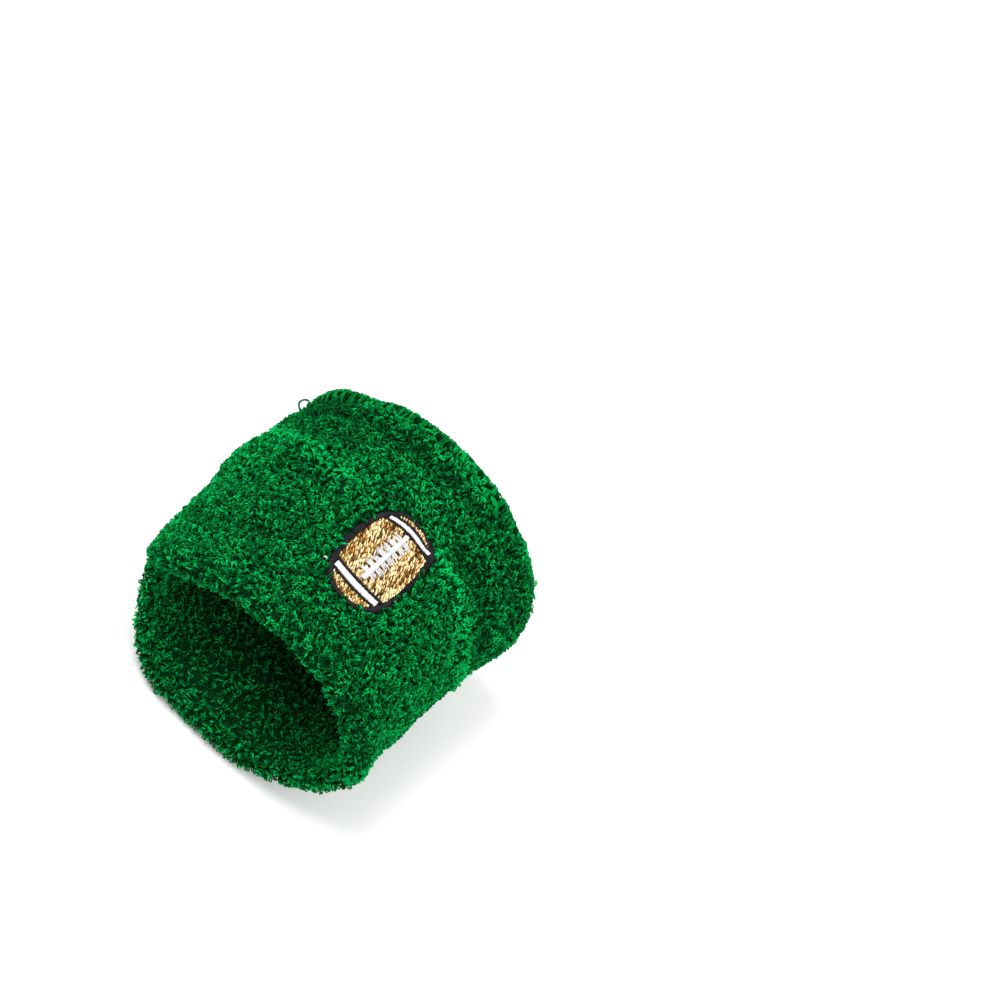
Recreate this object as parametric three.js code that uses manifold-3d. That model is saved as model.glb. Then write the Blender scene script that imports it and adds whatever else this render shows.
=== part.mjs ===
// Terry sweat wristband in the shape that it has on a wrist, lying on its palm side.
// Millimetres. +Z is up through the embroidered ball, +Y runs along the arm towards the hand,
// and the origin is under the middle of the band, on the surface that it lies on.
//
// The band is one knitted tube folded double. Every surface of it is given by three numbers:
//   angle  round the wrist in radians, 0 at +X and a quarter turn at the top,
//   s      along the arm, 0 in the middle of the band and positive towards the hand,
//   depth  below the tips of the outer terry loops, down to WALL at the skin.
import * as THREE from "three";
import { mergeVertices } from "three/addons/utils/BufferGeometryUtils.js";
import Module from "manifold-3d";

// Overall sizes.
const BAND_LENGTH = 80; // along the arm
const WRIST_WIDTH = 69; // opening at mid-length, side to side
const WRIST_HEIGHT = 46; // opening at mid-length, palm to back
const HAND_END_FLARE = 4; // how much wider the hand end is than the forearm end
const SQUARENESS = 2; // exponent of the section: 2 is an ellipse
const LEAN = 0.15; // how far the back of the wrist lies towards the hand, for each mm of height
const FOREARM_SKEW = 0.1; // how far the forearm end lies towards the hand, for each mm towards +X
const HAND_SKEW = 0.02; // and the same for the hand end
const REST_FLAT = 2; // how far the band's own weight flattens the palm side

// The wall, from the outside in.
const OUTER_LAYER = 3.1;
const INNER_LAYER = 2.0;
const CLEARANCE = 0.3; // between pieces that touch
const BOBBIN_THICK = 0.2;
const BACKING_THICK = 0.2;
const ELASTIC_THICK = 0.5;

// Fold at the forearm end, seam and hem at the hand end.
const FOLD_RETURN = 9; // how far the turned edge reaches back inside
const HEM_LENGTH = 3; // from the row of seam holes to the hand edge
const HEM_THICK = 3.8;
const SEAM_GAP = 1.6; // length of a seam hole along the arm
const SEAM_THREAD = 0.5;
const SEAM_STITCHES = 70;
const ELASTIC_COUNT = 6;

// Embroidered ball. Its long axis lies along the arm.
const BALL_LENGTH = 30.8;
const BALL_WIDTH = 18.6;
const BALL_BLUNTNESS = 2.5; // exponent of its outline: 2 is an ellipse
const BALL_OFFSET_X = 4.7; // from the top of the section towards +X
const BALL_OFFSET_S = -4.5; // from mid-length towards the hand
const CAP_END = 0.985; // share of the half length where a cap's narrow edge lies
const OUTLINE_SIDE = 1.7; // width of the outline on the ball's long sides
const OUTLINE_TIP = 0.9; // and round its two ends
const PILE_POCKET = 2.3; // how far the stitches press the pile down
const BACKING_MARGIN = 3; // how far the backing reaches beyond the outline
const FILL_THICK = 0.7;
const LACE_THICK = 0.4;
const STRIPE_BORDER = 0.8; // pitch of the thin line on each side of a stripe
const STRIPES = [
  { name: "hand_end", side: 1, middle: 12.7, width: 1.4, bow: 1.4 },
  { name: "forearm_end", side: -1, middle: 10.7, width: 2.0, bow: 0.9 },
];
const LACE_START = -8;
const LACE_END = 10.8;
const LACE_WIDTH = 1.5;
const LACE_BARS = 7;
const LACE_BAR_FIRST = -5.4;
const LACE_BAR_PITCH = 2.28;
const LACE_BAR_WIDTH = 1.0;
const LACE_BAR_LENGTH = 6.6;

// Yarn loop that has been pulled out of the pile near the hand end.
const SNAG_ANGLE = 155.5; // degrees
const SNAG_S = 24.3;
const SNAG_HEIGHT = 4.6;
const SNAG_SPAN = 2.8;
const SNAG_THREAD = 0.6;

// Puckers of the outer layer, ridges above zero and valleys below. Each lies round (angle, s) in degrees
// and mm, spreads so many degrees round the wrist, and is so many mm wide along the arm.
const PUCKERS = [
  { angle: 182, s: 19.5, spread: 50, width: 4, height: -2.6 }, // crease on the little-finger side
  { angle: 180, s: 8, spread: 55, width: 9, height: 2.6 }, // bulge on the forearm side of it
  { angle: 145, s: 33, spread: 40, width: 7, height: -1.2 }, // the hand end draws in beyond it
  { angle: 12, s: 28, spread: 48, width: 11, height: 3.4 }, // swell on the thumb side
  { angle: 20, s: -28, spread: 40, width: 6, height: -0.9 }, // crease behind the fold
  { angle: 5, s: -37, spread: 40, width: 6, height: 2.0 }, // roll of the fold on the thumb side
  { angle: 190, s: -40, spread: 50, width: 10, height: -2.4 }, // the fold draws in on the little-finger side
];

// The fold is drawn up towards the hand round this angle, so the band is shorter there.
const DRAW_ANGLE = 195; // degrees
const DRAW_SPREAD = 34;
const DRAW_REACH = 14;

// Fineness of the meshes.
const ROUND_STEPS = 48;
const LENGTH_STEPS = 12;
const NOSE_STEPS = 6;
const STITCH_STEPS = 12; // across a stitched area
const OUTLINE_STEPS = 40;
const PLATE_RINGS = 3;
const FILL_ROWS = 8;
const CAP_ROWS = 2;
const LACE_STEPS = { spine: 8, bar: 3 };

const wasm = await Module();
wasm.setup();

const BETWEEN_LAYERS = 4 * CLEARANCE + BOBBIN_THICK + BACKING_THICK + ELASTIC_THICK;
const WALL = OUTER_LAYER + BETWEEN_LAYERS + INNER_LAYER;
const INNER_TOP = WALL - INNER_LAYER; // depth of the inner layer's hidden side
const FOREARM_EDGE = -BAND_LENGTH / 2;
const HAND_EDGE = BAND_LENGTH / 2;
const SEAM_S = HAND_EDGE - HEM_LENGTH;
const LAYER_END = SEAM_S - SEAM_GAP / 2;
const CENTRE_HEIGHT = WRIST_HEIGHT / 2 + WALL - REST_FLAT;
const BOBBIN_DEPTH = OUTER_LAYER + CLEARANCE;
const BACKING_DEPTH = BOBBIN_DEPTH + BOBBIN_THICK + CLEARANCE;
const ELASTIC_DEPTH = BACKING_DEPTH + BACKING_THICK + CLEARANCE;
const FILL_DEPTH = PILE_POCKET - CLEARANCE - FILL_THICK; // of the fill's upper side
const BAR_DEPTH = FILL_DEPTH - CLEARANCE - LACE_THICK;
const SPINE_DEPTH = BAR_DEPTH - CLEARANCE - LACE_THICK;

const lerp = THREE.MathUtils.lerp;
const toDegrees = THREE.MathUtils.radToDeg;
const steps = (count) => Array.from({ length: count + 1 }, (_, i) => i / count);
const bell = (x) => Math.exp(-x * x);
const signedPower = (x, power) => Math.sign(x) * Math.abs(x) ** power;
const degreesBetween = (a, b) => THREE.MathUtils.euclideanModulo(a - b + 180, 360) - 180;

// Stations along the arm, shared by both layers and the elastic so that their facets stay parallel.
const FIRST_STATION = FOREARM_EDGE + WALL / 2;
const stations = steps(LENGTH_STEPS).map((t) => lerp(FIRST_STATION, LAYER_END, t));

function puckerHeight(angle, s) {
  const height = (p) => {
    const turn = degreesBetween(toDegrees(angle), p.angle);
    return p.height * bell((s - p.s) / p.width) * bell(turn / p.spread);
  };
  return PUCKERS.reduce((sum, p) => sum + height(p), 0);
}

function halfWidthAt(s) {
  const share = THREE.MathUtils.smoothstep(s, FOREARM_EDGE, HAND_EDGE);
  return WRIST_WIDTH / 2 + WALL + (HAND_END_FLARE / 2) * (share - 0.5);
}

// Point (x, z) and outward normal (nx, nz) of the outer section, about the section's own middle.
function section(angle, s) {
  const halfWidth = halfWidthAt(s);
  const halfHeight = WRIST_HEIGHT / 2 + WALL;
  const power = 2 / SQUARENESS;
  const nx = signedPower(Math.cos(angle), 2 - power) / halfWidth;
  const nz = signedPower(Math.sin(angle), 2 - power) / halfHeight;
  const size = Math.hypot(nx, nz);
  return {
    x: halfWidth * signedPower(Math.cos(angle), power),
    z: halfHeight * signedPower(Math.sin(angle), power),
    nx: nx / size,
    nz: nz / size,
  };
}

// A point of the band. Puckers fade towards the skin, so the opening is smooth and the layers keep order.
function place(angle, s, depth) {
  const p = section(angle, s);
  const out = puckerHeight(angle, s) * (1 - depth / WALL) - depth;
  const x = p.x + p.nx * out;
  const z = Math.max(CENTRE_HEIGHT + p.z + p.nz * out, depth);
  const share = (s - FOREARM_EDGE) / BAND_LENGTH;
  const skew = lerp(FOREARM_SKEW, HAND_SKEW, share);
  const turn = degreesBetween(toDegrees(angle), DRAW_ANGLE);
  const draw = DRAW_REACH * bell(turn / DRAW_SPREAD) * (1 - share) ** 2;
  return new THREE.Vector3(x, s + draw + skew * x + LEAN * (z - CENTRE_HEIGHT), z);
}

// A point of the embroidery, u mm across the band from the ball's middle and v mm along it.
function placeStitch(u, v, depth) {
  const s = BALL_OFFSET_S + v;
  const share = (BALL_OFFSET_X + u) / halfWidthAt(s);
  const angle = Math.acos(signedPower(share, SQUARENESS / 2));
  return place(angle, s, depth);
}

// Half the ball's width at v along it.
function ballHalfWidth(v) {
  const share = Math.abs(v) / (BALL_LENGTH / 2);
  return (BALL_WIDTH / 2) * (1 - share ** BALL_BLUNTNESS) ** (1 / BALL_BLUNTNESS);
}

// Point of an oval like the ball's outline, with the given half width and half length.
function ovalPoint(turn, halfWidth, halfLength) {
  const power = 2 / BALL_BLUNTNESS;
  return [halfWidth * signedPower(Math.cos(turn), power), halfLength * signedPower(Math.sin(turn), power)];
}

function surfaceGeometry(points, triangles) {
  const geometry = new THREE.BufferGeometry();
  const numbers = points.flatMap((p) => p.toArray());
  geometry.setAttribute("position", new THREE.Float32BufferAttribute(numbers, 3));
  geometry.setIndex(triangles);
  return geometry;
}

// Closed outlines, one for each turn and all with the same number of points, joined into a ring.
function ringGeometry(outlines) {
  const count = outlines[0].length;
  const triangles = [];
  outlines.forEach((_, i) => {
    const here = i * count;
    const next = ((i + 1) % outlines.length) * count;
    for (let j = 0; j < count; j++) {
      const k = (j + 1) % count;
      triangles.push(here + j, next + k, here + k, here + j, next + j, next + k);
    }
  });
  return surfaceGeometry(outlines.flat(), triangles);
}

// One [s, depth] outline swept round the wrist. It runs anticlockwise, seen with the skin side down.
function bandRing(outline) {
  const turns = steps(ROUND_STEPS).slice(0, -1);
  return ringGeometry(turns.map((t) => outline.map(([s, depth]) => place(2 * Math.PI * t, s, depth))));
}

// Half circle of [s, depth] points about (s, middle), from its outer side to its skin side. It bulges
// towards the forearm where way is -1 and towards the hand where way is 1.
function nose(s, middle, radius, way) {
  return steps(NOSE_STEPS).map((t) => {
    const turn = Math.PI * t;
    return [s + way * radius * Math.sin(turn), middle - radius * Math.cos(turn)];
  });
}

// The outer layer with its turned edge is a J: from the seam along the outside, round the fold, a short
// way back along the skin, and then along its hidden side to the seam.
function outerLayerOutline() {
  const middle = (OUTER_LAYER + INNER_TOP) / 2;
  const turnedEdge = FOREARM_EDGE + FOLD_RETURN;
  return [
    ...stations.slice(1).reverse().map((s) => [s, 0]),
    ...nose(FIRST_STATION, WALL / 2, WALL / 2, -1),
    [turnedEdge, WALL],
    [turnedEdge, INNER_TOP],
    ...nose(FIRST_STATION, middle, BETWEEN_LAYERS / 2, -1).reverse(),
    ...stations.slice(1).map((s) => [s, OUTER_LAYER]),
  ];
}

function innerLayerOutline() {
  const start = FOREARM_EDGE + FOLD_RETURN + CLEARANCE;
  const shared = stations.filter((s) => s > start + CLEARANCE);
  const along = [start, ...shared];
  return [...along.map((s) => [s, INNER_TOP]).reverse(), ...along.map((s) => [s, WALL])];
}

// The raw ends of both layers bound together, with a rounded edge at the hand.
function hemOutline() {
  const start = SEAM_S + SEAM_GAP / 2;
  const radius = HEM_THICK / 2;
  const round = nose(HAND_EDGE - radius, WALL / 2, radius, 1);
  return [...round.reverse(), [start, WALL / 2 - radius], [start, WALL / 2 + radius]];
}

function elasticOutline(s) {
  const half = ELASTIC_THICK / 2;
  const middle = ELASTIC_DEPTH + half;
  return [
    [s, middle - half],
    [s - half, middle],
    [s, middle + half],
    [s + half, middle],
  ];
}

// The linking thread swings from one side of the seam gap to the other, twice for each stitch.
function seamThread() {
  const swing = (SEAM_GAP - SEAM_THREAD) / 2 - CLEARANCE;
  const radius = SEAM_THREAD / 2;
  const turns = steps(2 * SEAM_STITCHES).slice(0, -1);
  const outlineAt = (t, i) => {
    const middle = SEAM_S + (i % 2 ? swing : -swing);
    const corner = (k) => {
      const turn = (-2 * Math.PI * k) / NOSE_STEPS;
      return place(2 * Math.PI * t, middle + radius * Math.cos(turn), WALL / 2 + radius * Math.sin(turn));
    };
    return steps(NOSE_STEPS).slice(0, -1).map((_, k) => corner(k));
  };
  return ringGeometry(turns.map(outlineAt));
}

// Rows of points on the upper side, joined to the same rows on the lower side.
function slabGeometry(rows, depth, thick) {
  const across = rows[0].length;
  const count = rows.length * across;
  const side = (d) => rows.flat().map(([u, v]) => placeStitch(u, v, d));
  const triangles = [];
  const quad = (a, b, c, d) => triangles.push(a, b, c, a, c, d);
  for (let i = 0; i + 1 < rows.length; i++)
    for (let j = 0; j + 1 < across; j++) {
      const a = i * across + j;
      quad(a, a + 1, a + 1 + across, a + across);
      quad(count + a, count + a + across, count + a + 1 + across, count + a + 1);
    }
  const last = count - across;
  for (let j = 0; j + 1 < across; j++) {
    quad(j, count + j, count + j + 1, j + 1);
    quad(last + j, last + j + 1, count + last + j + 1, count + last + j);
  }
  for (let i = 0; i + 1 < rows.length; i++) {
    const left = i * across;
    const right = left + across - 1;
    quad(left, left + across, count + left + across, count + left);
    quad(right, count + right, count + right + across, right + across);
  }
  return surfaceGeometry([...side(depth), ...side(depth + thick)], triangles);
}

// A band across the ball, from v = from to v = to at its two ends, bowing towards +v in the middle.
function acrossBall(from, to, rowCount = 1) {
  const rows = steps(rowCount).map((t) => {
    const end = lerp(from.end, to.end, t);
    const bow = lerp(from.bow, to.bow, t);
    return steps(STITCH_STEPS).map((f) => {
      const across = 2 * f - 1;
      return [across * ballHalfWidth(end), end + bow * (1 - across * across)];
    });
  });
  return slabGeometry(rows, FILL_DEPTH, FILL_THICK);
}

// The line across the ball that lies out mm beyond a stripe's middle line.
function stripeLine(stripe, out) {
  return { end: stripe.side * (stripe.middle - stripe.bow + out), bow: stripe.side * stripe.bow };
}

function betweenLines(a, b, rowCount) {
  return a.end < b.end ? acrossBall(a, b, rowCount) : acrossBall(b, a, rowCount);
}

function rectangle(u0, u1, v0, v1, columns, rowCount, depth) {
  const rows = steps(rowCount).map((t) => steps(columns).map((f) => [lerp(u0, u1, f), lerp(v0, v1, t)]));
  return slabGeometry(rows, depth, LACE_THICK);
}

// The outline round the ball: a closed ring with a four-sided section.
function outlineGeometry() {
  const reach = (grow, turn) => {
    const side = BALL_WIDTH / 2 + CLEARANCE + grow * OUTLINE_SIDE;
    const tip = BALL_LENGTH / 2 + CLEARANCE + grow * OUTLINE_TIP;
    return ovalPoint(turn, side, tip);
  };
  const low = FILL_DEPTH + FILL_THICK;
  const outlines = steps(OUTLINE_STEPS).slice(0, -1).map((t) => {
    const inner = reach(0, 2 * Math.PI * t);
    const outer = reach(1, 2 * Math.PI * t);
    return [
      placeStitch(...outer, FILL_DEPTH),
      placeStitch(...inner, FILL_DEPTH),
      placeStitch(...inner, low),
      placeStitch(...outer, low),
    ];
  });
  return ringGeometry(outlines);
}

// An oval plate as wide as the outline and grow mm more all round.
function ovalPlate(grow, depth, thick) {
  const halfWidth = BALL_WIDTH / 2 + CLEARANCE + OUTLINE_SIDE + grow;
  const halfLength = BALL_LENGTH / 2 + CLEARANCE + OUTLINE_TIP + grow;
  const rings = steps(PLATE_RINGS).slice(1);
  const side = (d) => [
    placeStitch(0, 0, d),
    ...rings.flatMap((share) =>
      steps(OUTLINE_STEPS).slice(0, -1).map((t) => {
        const [u, v] = ovalPoint(2 * Math.PI * t, share * halfWidth, share * halfLength);
        return placeStitch(u, v, d);
      }),
    ),
  ];
  const count = 1 + rings.length * OUTLINE_STEPS;
  const triangles = [];
  for (let j = 0; j < OUTLINE_STEPS; j++) {
    const k = (j + 1) % OUTLINE_STEPS;
    triangles.push(0, 1 + j, 1 + k, count, count + 1 + k, count + 1 + j);
    for (let ring = 0; ring + 1 < rings.length; ring++) {
      const a = 1 + ring * OUTLINE_STEPS;
      const b = a + OUTLINE_STEPS;
      triangles.push(a + j, b + j, b + k, a + j, b + k, a + k);
      triangles.push(count + a + j, count + b + k, count + b + j, count + a + j, count + a + k, count + b + k);
    }
    const rim = 1 + (rings.length - 1) * OUTLINE_STEPS;
    triangles.push(rim + j, count + rim + j, count + rim + k, rim + j, count + rim + k, rim + k);
  }
  return surfaceGeometry([...side(depth), ...side(depth + thick)], triangles);
}

function toManifold(geometry) {
  const merged = mergeVertices(geometry);
  return new wasm.Manifold(
    new wasm.Mesh({
      numProp: 3,
      vertProperties: new Float32Array(merged.attributes.position.array),
      triVerts: new Uint32Array(merged.index.array),
    }),
  );
}

function fromManifold(solid) {
  const mesh = solid.getMesh();
  const geometry = new THREE.BufferGeometry();
  geometry.setAttribute("position", new THREE.BufferAttribute(new Float32Array(mesh.vertProperties), 3));
  geometry.setIndex(new THREE.BufferAttribute(new Uint32Array(mesh.triVerts), 1));
  return geometry;
}

// The outer layer, with the pile pressed down where the embroidery lies.
function outerLayer() {
  const above = 2 * PILE_POCKET;
  const pocket = ovalPlate(CLEARANCE, -above, above + PILE_POCKET);
  return fromManifold(toManifold(bandRing(outerLayerOutline())).subtract(toManifold(pocket)));
}

// A round arch of yarn whose two feet stand just clear of the pile.
function pulledLoop() {
  const angle = THREE.MathUtils.degToRad(SNAG_ANGLE);
  const foot = CLEARANCE;
  const arch = steps(2 * NOSE_STEPS).map((t) => {
    const turn = Math.PI * t;
    const across = (SNAG_SPAN / 2) * Math.cos(turn) * Math.SQRT1_2;
    const depth = -foot - (SNAG_HEIGHT - foot) * Math.sin(turn);
    return place(angle + across / halfWidthAt(SNAG_S), SNAG_S - across, depth);
  });
  const shape = new THREE.Shape().absarc(0, 0, SNAG_THREAD / 2, 0, 2 * Math.PI);
  return new THREE.ExtrudeGeometry(shape, {
    steps: 2 * NOSE_STEPS,
    curveSegments: NOSE_STEPS / 2,
    extrudePath: new THREE.CatmullRomCurve3(arch),
  });
}

const cloth = (color) => new THREE.MeshStandardMaterial({ color, roughness: 0.95, metalness: 0 });
const thread = (color) => new THREE.MeshStandardMaterial({ color, roughness: 0.5, metalness: 0 });
const greenTerry = cloth(0x0a7a36);
const greenYarn = cloth(0x0d8a3e);
const elasticYarn = thread(0xe6e2d6);
const goldThread = thread(0xc08a3c);
const blackThread = thread(0x17171a);
const whiteThread = thread(0xf4f4f0);
const backingCloth = cloth(0xdcdcd8);

const group = new THREE.Group();

function addPiece(name, geometry, material) {
  const mesh = new THREE.Mesh(geometry, material);
  mesh.name = name;
  group.add(mesh);
}

function addBand() {
  addPiece("outer_terry_layer", outerLayer(), greenTerry);
  addPiece("inner_terry_layer", bandRing(innerLayerOutline()), greenTerry);
  addPiece("hand_end_hem", bandRing(hemOutline()), greenTerry);
  addPiece("linking_seam_thread", seamThread(), greenYarn);
  addPiece("pulled_yarn_loop", pulledLoop(), greenYarn);
  const free = stations.filter((s) => s > FOREARM_EDGE + FOLD_RETURN + CLEARANCE + ELASTIC_THICK);
  const pitch = (free.length - 2) / (ELASTIC_COUNT - 1);
  for (let i = 0; i < ELASTIC_COUNT; i++) {
    const s = free[Math.floor(i * pitch)];
    addPiece(`elastic_yarn_${i + 1}`, bandRing(elasticOutline(s)), elasticYarn);
  }
}

function addStripes() {
  for (const stripe of STRIPES) {
    const half = stripe.width / 2;
    const gap = CLEARANCE / 2;
    const edge = half + STRIPE_BORDER;
    const strip = (near, far) => betweenLines(stripeLine(stripe, near + gap), stripeLine(stripe, far - gap));
    addPiece(`stripe_${stripe.name}`, strip(-half, half), whiteThread);
    addPiece(`stripe_line_inner_${stripe.name}`, strip(-edge, -half), blackThread);
    addPiece(`stripe_line_outer_${stripe.name}`, strip(half, edge), blackThread);
    const tip = { end: (stripe.side * CAP_END * BALL_LENGTH) / 2, bow: 0 };
    addPiece(`ball_cap_${stripe.name}`, betweenLines(stripeLine(stripe, edge + gap), tip, CAP_ROWS), goldThread);
  }
}

function addLacing() {
  const spine = rectangle(-LACE_WIDTH / 2, LACE_WIDTH / 2, LACE_START, LACE_END, 1, LACE_STEPS.spine, SPINE_DEPTH);
  addPiece("lace_spine", spine, whiteThread);
  const reach = LACE_BAR_LENGTH / 2;
  for (let i = 0; i < LACE_BARS; i++) {
    const v = LACE_BAR_FIRST + i * LACE_BAR_PITCH;
    const half = LACE_BAR_WIDTH / 2;
    const bar = rectangle(-reach, reach, v - half, v + half, LACE_STEPS.bar, 1, BAR_DEPTH);
    addPiece(`lace_bar_${i + 1}`, bar, whiteThread);
  }
}

function addEmbroidery() {
  const [hand, forearm] = STRIPES;
  const lineAt = (stripe) => stripeLine(stripe, -(stripe.width / 2 + STRIPE_BORDER + CLEARANCE / 2));
  addPiece("ball_fill", acrossBall(lineAt(forearm), lineAt(hand), FILL_ROWS), goldThread);
  addPiece("ball_outline", outlineGeometry(), blackThread);
  addStripes();
  addLacing();
  addPiece("bobbin_thread_layer", ovalPlate(0, BOBBIN_DEPTH, BOBBIN_THICK), whiteThread);
  addPiece("embroidery_backing", ovalPlate(BACKING_MARGIN, BACKING_DEPTH, BACKING_THICK), backingCloth);
}

addBand();
addEmbroidery();

// The origin goes under the middle of the band.
const middle = new THREE.Box3().setFromObject(group).getCenter(new THREE.Vector3());
group.position.set(-middle.x, -middle.y, 0);

export default group;
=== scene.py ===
"""Looks of a terry sweat wristband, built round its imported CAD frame.

Lengths are in millimetres until a mesh is made. A point of the band is given by three numbers:
    angle  round the wrist in radians, 0 at +X and a quarter turn at the top,
    s      along the arm, 0 in the middle of the band and positive towards the hand,
    depth  below the tips of the outer terry loops, down to WALL at the skin.
A point of the embroidery is given by u across the band and v along it, from the ball's middle.
"""

import bpy
import numpy as np
from mathutils import Matrix, Vector


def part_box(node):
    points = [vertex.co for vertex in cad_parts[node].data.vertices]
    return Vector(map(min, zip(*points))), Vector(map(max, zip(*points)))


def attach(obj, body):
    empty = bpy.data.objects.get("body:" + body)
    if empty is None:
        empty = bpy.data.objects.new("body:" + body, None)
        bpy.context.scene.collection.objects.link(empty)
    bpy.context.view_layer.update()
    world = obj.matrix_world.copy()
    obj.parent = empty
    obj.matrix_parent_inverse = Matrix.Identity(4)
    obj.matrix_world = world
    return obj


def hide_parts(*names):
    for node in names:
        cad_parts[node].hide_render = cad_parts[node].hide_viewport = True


MM = 0.001
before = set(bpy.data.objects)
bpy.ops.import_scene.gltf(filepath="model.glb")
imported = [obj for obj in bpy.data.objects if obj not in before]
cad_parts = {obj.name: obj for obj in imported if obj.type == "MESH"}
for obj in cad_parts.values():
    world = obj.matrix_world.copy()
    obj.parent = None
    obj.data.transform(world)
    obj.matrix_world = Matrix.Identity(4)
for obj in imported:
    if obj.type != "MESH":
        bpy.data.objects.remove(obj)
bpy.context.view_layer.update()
rng = np.random.default_rng(11)

# The band's shape, as in the CAD.
BAND_LENGTH = 80
WRIST_WIDTH = 69
WRIST_HEIGHT = 46
HAND_END_FLARE = 4
LEAN = 0.15  # how far the back of the wrist lies towards the hand, for each mm of height
FOREARM_SKEW = 0.1  # how far the forearm end lies towards the hand, for each mm towards +X
HAND_SKEW = 0.02  # and the same for the hand end
REST_FLAT = 2  # how much of the section's height the flat underside takes off
INNER_LAYER = 2.0
WALL = 7.2
FOLD_RETURN = 9  # how far the turned-in edge reaches inside
CLEARANCE = 0.3
SEAM_S = 37  # row of seam holes
SEAM_GAP = 1.6  # length of a seam hole along the arm
SEAM_STITCHES = 70
HEM_THICK = 3.8
HEM_INSET = 1.8  # from the hand edge to the middle of the hem
CAD_TURNS = 48  # facets round the CAD rings
PUCKERS = [  # angle in degrees, s, spread in degrees, width, height
    (182, 19.5, 50, 4, -2.6),
    (180, 8, 55, 9, 2.6),
    (145, 33, 40, 7, -1.2),
    (12, 28, 48, 11, 3.4),
    (20, -28, 40, 6, -0.9),
    (5, -37, 40, 6, 2.0),
    (190, -40, 50, 10, -2.4),
]
DRAW_ANGLE = 195  # the fold is drawn up towards the hand on the little-finger side
DRAW_SPREAD = 34  # degrees
DRAW_REACH = 14

# Finer wrinkles of the pile side. Each is a line of (angle in degrees, s), with a width and a height.
WRINKLES = [
    ([(152, 26), (128, 28), (110, 27.6), (90, 27)], 1.9, -2.3),
    ([(138, 33.5), (120, 33.5), (100, 33), (78, 33)], 2.4, 0.6),
    ([(188, 33), (172, 33), (152, 31), (135, 38)], 5, -2.5),
    ([(58, 38), (30, 38), (10, 37)], 4.5, -1.5),
    ([(5, -19), (2, -36)], 4.5, 1.2),
    ([(158, 13), (145, 10.5), (127, 8.5), (113, 5.5)], 2.4, 1.9),
    ([(140, 6), (128, 3.5), (117, 1.5)], 1.6, -1.8),
    ([(148, 21), (135, 17.5), (122, 18)], 3.4, -1.1),
    ([(72, 7), (57, 8), (42, 6), (25, 4), (9, 3)], 2.3, 2.2),
    ([(66, 15), (53, 17), (35, 15), (20, 13)], 2.6, -1.9),
    ([(78, 28), (58, 30), (40, 27), (25, 25)], 1.8, -1.5),
    ([(127, -8), (117, -13), (110, -18)], 1.6, -1.4),
    ([(165, -20), (140, -23), (120, -20)], 2.4, -1.0),
    ([(96, -33), (80, -30), (66, -34)], 1.8, -1.3),
    ([(46, -34.5), (21, -33), (14, -38)], 1.6, -1.6),
    ([(70, -22), (58, -30), (50, -36)], 1.5, -1.2),
]
MEAN_RADIUS = 36  # turns degrees round the wrist into millimetres
FLOOR_CLEAR = 0.02  # no yarn lies lower than this

# Cloth and pile.
GROUND_DEPTH = 2.2  # knitted ground of the outer side
INNER_GROUND_DEPTH = 5.6
CURL = 1.3  # the cut ends of the cloth curl in at the seam
YARN = 0.19  # radius of the pile yarn
PLY_TURN = 0.9  # turn of a yarn's section from one station to the next, in radians
HALF_LOOP = 0.6  # half the width of a loop
OUTER_PITCH = 0.87
OUTER_ROUND = 226  # length round the band that the columns of outer loops share out
OUTER_STATIONS = 11
OUTER_PATCHES = 12
INNER_PITCH = 1.2
INNER_ROUND = 196
INNER_STATIONS = 9
INNER_PATCHES = 4
PILE_START = 2.2  # first row of loops, from the cut edge of the cloth
HEM_WRAPS = 300
HEM_LOOPS = 2300
PAINTED_CREASE_SHADE = 0.2  # painted shade and light: the pile's tone drops by this in a crease and rises by it on a ridge, per mm of its depth or height
MOTIF_MARGIN_LEFT = 0.2  # the loops' feet stand this far outside the outline
MOTIF_MARGIN_RIGHT = -0.35

# Embroidered ball.
BALL_LENGTH = 30.8
BALL_WIDTH = 18.6
BALL_BLUNTNESS = 2.5
BALL_OFFSET_X = 4.7
BALL_OFFSET_S = -4.5
OUTLINE_SIDE = 1.7
OUTLINE_TIP = 0.9
FILL_DEPTH = 1.3  # upper side of the fill
FILL_SLANT = -64  # degrees
FILL_PITCH = 0.4
FILL_THREAD = 0.34
FILL_STITCH = 1.7
CAP_STITCH = 1.5
FILL_TONES = (0.0, 1.05)
STITCH_THICK = 0.42
SATIN_PITCH = 0.36
OUTLINE_STITCHES = 230
STRIPE_BORDER = 0.8
STRIPES = {  # side, middle, width, bow
    "hand_end": (1, 12.7, 1.4, 1.4),
    "forearm_end": (-1, 10.7, 2.0, 0.9),
}
LACE_START = -8.3
LACE_END = 10.3
LACE_WIDTH = 1.35
LACE_BARS = 7
LACE_BAR_FIRST = -5.4
LACE_BAR_PITCH = 2.28
LACE_BAR_WIDTH = 1.15
LACE_BAR_LENGTH = 6.6
LACE_BAR_THREADS = 4

# Yarn loop that has been pulled out of the pile.
SNAG_ANGLE = 158
SNAG_S = 24.3
SNAG_HEIGHT = 3.8
SNAG_SPAN = 3.9
SNAG_ROOT = 0.6  # height of its feet above the knitted ground
SNAG_PLY_TURN = 0.6

# Seam.
SEAM_PLY_TURN = 0.7
RINGLET_CLEAR = 25  # degrees to each side of the pulled loop without slack arcs
RINGLET_STRANDS = 3

# Studio, with distances in metres apart from CAMERA_AIM.
CAMERA_AIM = (9.2, 39.1, 0.1)  # from the ball's middle, in millimetres
CAMERA_AWAY = 0.8
CAMERA_TILT = 54  # degrees
CAMERA_ROLL = 47  # degrees
CAMERA_LENS = 109.44
FLOOR_REACH = 3.0
WORLD_LIGHT = 0.48

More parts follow.
